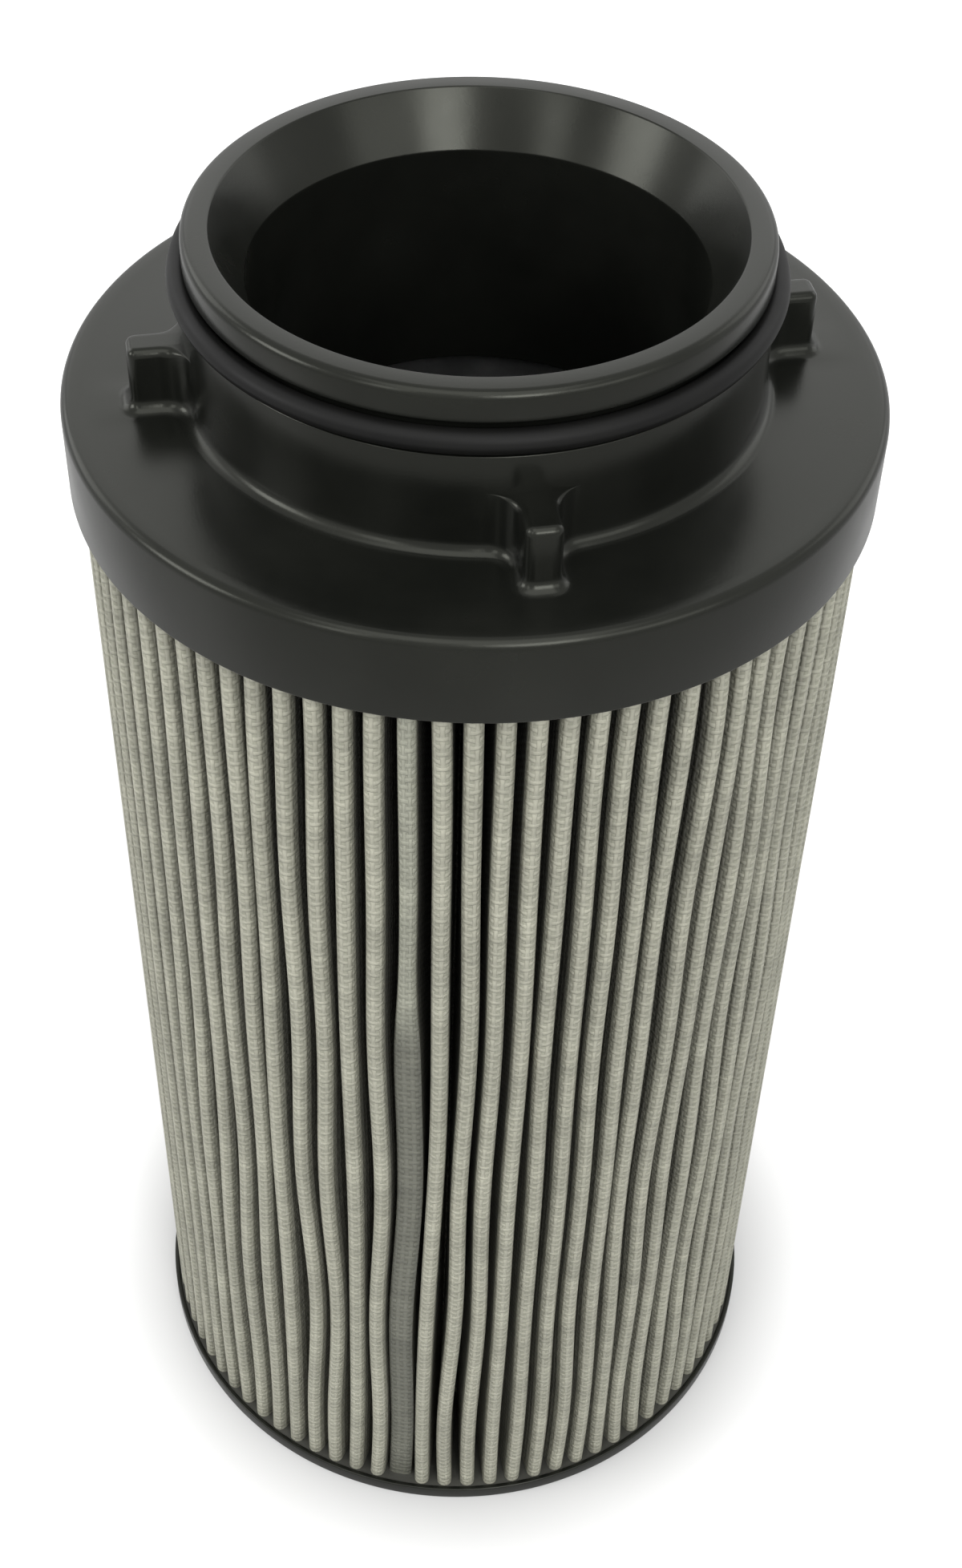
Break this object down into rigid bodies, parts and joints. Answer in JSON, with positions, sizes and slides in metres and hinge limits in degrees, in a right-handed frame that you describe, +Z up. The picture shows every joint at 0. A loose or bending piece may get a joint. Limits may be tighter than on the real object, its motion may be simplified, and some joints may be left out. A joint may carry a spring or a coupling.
{
  "type": "pleated hydraulic filter element",
  "caption": "Tall pleated cylinder under a black flanged cap with a round open neck, seal ring and locating lugs, standing on a thin closed base cap.",
  "frame": {"origin": "centre of the base, on the surface the element stands on", "axes": "+Z up along the element's axis towards its neck; -Y faces the side with the seam and the first lug pair"},
  "size_m": [0.12, 0.12, 0.248],
  "materials": {
    "black_polyamide": "moulded black polyamide with a slight gloss",
    "nitrile_rubber": "smooth black nitrile rubber",
    "coated_wire_mesh": "epoxy-coated woven steel wire, grey-beige",
    "spun_fleece": "off-white spun-bond fleece",
    "glass_fibre_paper": "cream glass-fibre filter paper",
    "tinned_steel": "tinned perforated sheet steel",
    "grey_adhesive": "cast grey two-part adhesive"
  },
  "bodies": {
    "root": {"top_end_cap": "black_polyamide", "bottom_end_cap": "black_polyamide", "neck_o_ring": "nitrile_rubber", "outer_support_mesh": "coated_wire_mesh", "inner_support_mesh": "coated_wire_mesh", "outer_fleece": "spun_fleece", "inner_fleece": "spun_fleece", "filter_medium": "glass_fibre_paper", "centre_tube": "tinned_steel", "top_potting": "grey_adhesive", "bottom_potting": "grey_adhesive", "seam_bead": "grey_adhesive"}
  },
  "joints": []
}
